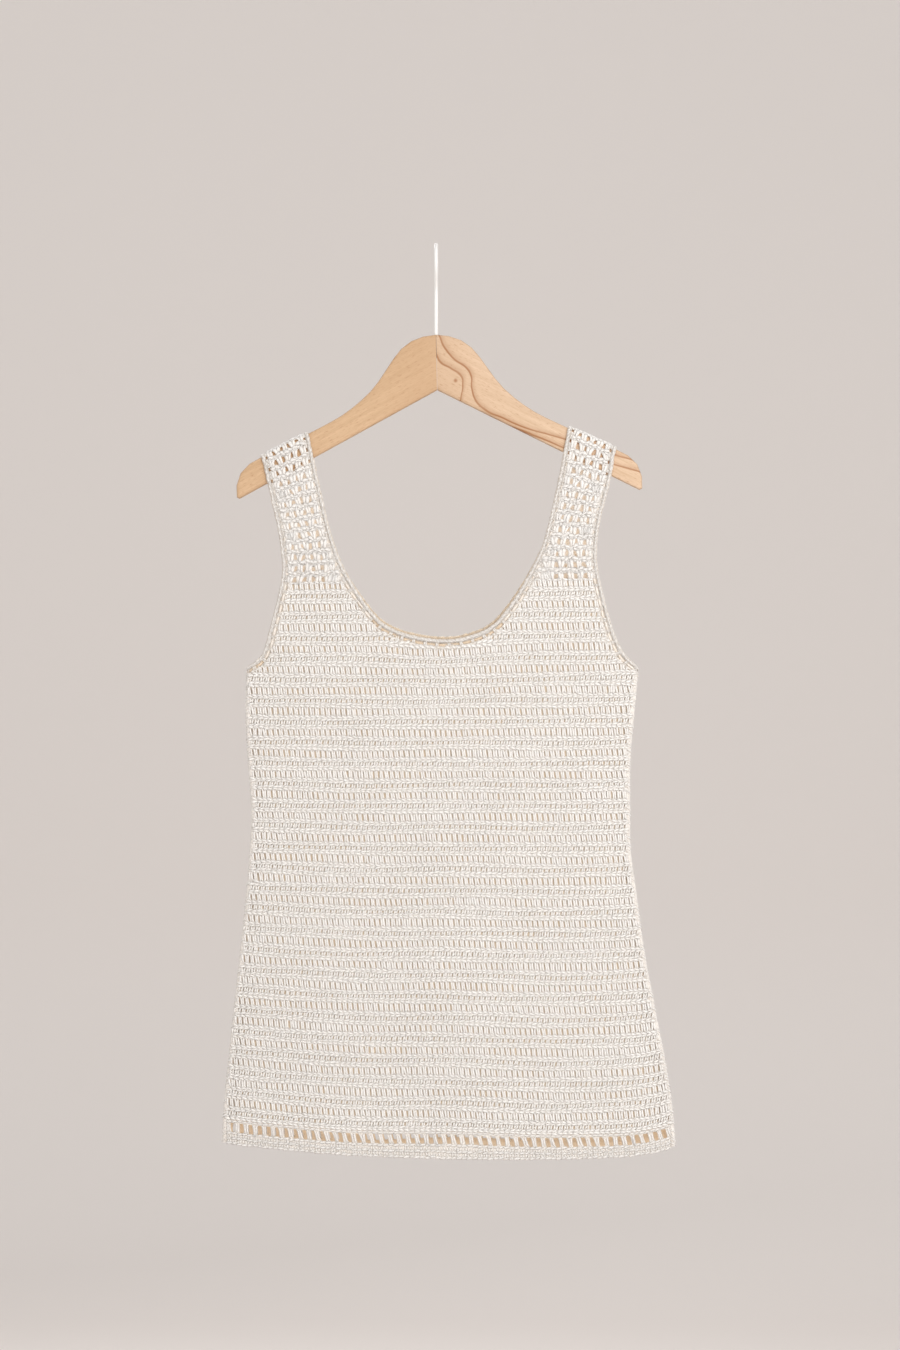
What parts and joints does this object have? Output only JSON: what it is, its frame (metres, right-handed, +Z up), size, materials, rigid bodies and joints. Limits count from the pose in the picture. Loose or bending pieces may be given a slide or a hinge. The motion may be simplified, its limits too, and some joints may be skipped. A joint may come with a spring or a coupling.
{
  "type": "crochet dress on hanger",
  "caption": "Sleeveless crochet mini dress hanging flat on a wooden hanger: openwork straps, deep scooped neck, a body that widens to a hem border pierced with eyelets, and a white wire hook.",
  "frame": {"origin": "The inside top of the hook's bend, where the hook is held.", "axes": "+Z up. The front of the dress faces -Y and +X is to the right as seen from the front. The dress and the hanger lie along X, and the hook bends in the YZ plane."},
  "size_m": [0.4977, 0.0603, 0.9995],
  "materials": {
    "cotton crochet": "matt, thick mercerised-looking yarn with a soft sheen on its crowns",
    "cotton edging": "matt, firm smooth rows of slip stitch",
    "light wood": "satin, lightly varnished, straight grain with a few brown lines",
    "white wire coating": "semi-gloss smooth coating"
  },
  "bodies": {
    "root": {"front_panel": "cotton crochet", "back_panel": "cotton crochet", "hem_front": "cotton crochet", "hem_back": "cotton crochet", "strap_front_left": "cotton crochet", "strap_front_right": "cotton crochet", "strap_back_left": "cotton crochet", "strap_back_right": "cotton crochet", "neck_edging": "cotton edging", "armhole_edging_left": "cotton edging", "armhole_edging_right": "cotton edging", "side_seam_left": "cotton edging", "side_seam_right": "cotton edging", "hanger_arm_left": "light wood", "hanger_arm_right": "light wood", "hook": "white wire coating"}
  },
  "joints": []
}
